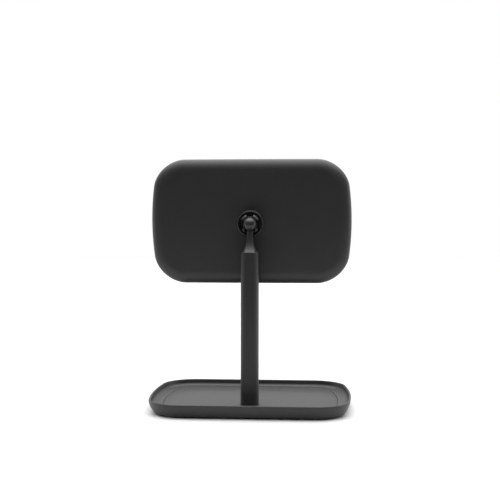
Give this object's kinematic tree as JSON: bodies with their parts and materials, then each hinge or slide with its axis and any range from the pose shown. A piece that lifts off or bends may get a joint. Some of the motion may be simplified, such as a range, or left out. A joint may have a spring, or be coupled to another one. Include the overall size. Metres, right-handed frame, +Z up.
{
  "type": "countertop mirror",
  "caption": "Tabletop mirror: a rounded-rectangle mirror head on a ball joint, carried by a faceted post that stands in a shallow weighted tray.",
  "frame": {"origin": "on the surface that the mirror stands on, under the middle of the tray", "axes": "+Z up. The mirror's glass faces -Y and the post stands on the +Y side of the tray. +X runs along the tray's long side"},
  "size_m": [0.1908, 0.14, 0.236],
  "materials": {
    "tray_plastic": "dark grey moulded plastic, fine even texture",
    "floor_plastic": "dark grey moulded plastic, satin",
    "plate_steel": "zinc-plated sheet",
    "foot_rubber": "black, matte",
    "screw_steel": "zinc plated",
    "post_paint": "dark grey powder coat",
    "stem_plastic": "dark grey, smoother on the ball",
    "pad_rubber": "black, matte",
    "socket_plastic": "dark grey, satin",
    "clip_steel": "blackened spring steel",
    "shell_plastic": "dark grey moulded plastic, fine even texture",
    "foam_tape": "white foam tape",
    "mirror_glass": "silvered float glass, 3 mm"
  },
  "bodies": {
    "base": {"tray_shell": "tray_plastic", "floor_panel": "floor_plastic", "base_plate": "plate_steel", "foot_front_left": "foot_rubber", "foot_front_right": "foot_rubber", "foot_back_left": "foot_rubber", "foot_back_right": "foot_rubber", "plate_screw_front_left": "screw_steel", "plate_screw_front_right": "screw_steel", "plate_screw_back_left": "screw_steel", "plate_screw_back_right": "screw_steel", "post_tube": "post_paint", "ball_stem": "stem_plastic", "tie_bolt": "screw_steel"},
    "pan_stage": {"friction_pad": "pad_rubber"},
    "tilt_stage": {"ball_liner": "socket_plastic"},
    "head": {"ball_socket": "socket_plastic", "spring_clip": "clip_steel", "socket_screw_1": "screw_steel", "socket_screw_2": "screw_steel", "socket_screw_3": "screw_steel", "back_shell": "shell_plastic", "foam_tape_lower_left": "foam_tape", "foam_tape_lower_right": "foam_tape", "foam_tape_upper_left": "foam_tape", "foam_tape_upper_right": "foam_tape", "mirror_glass": "mirror_glass"}
  },
  "joints": [
    {"name": "head_pan", "type": "hinge", "parent": "base", "child": "pan_stage", "pos_m": [0, 0.025, 0.1742], "axis": [0, 0, 1], "continuous": true},
    {"name": "head_tilt", "type": "hinge", "parent": "pan_stage", "child": "tilt_stage", "pos_m": [0, 0.025, 0.1742], "axis": [-1, 0, 0], "range_deg": [-9, 60]},
    {"name": "head_roll", "type": "hinge", "parent": "tilt_stage", "child": "head", "pos_m": [0, 0.025, 0.1742], "axis": [0, 0.9972, -0.075], "range_deg": [-9, 9]}
  ]
}
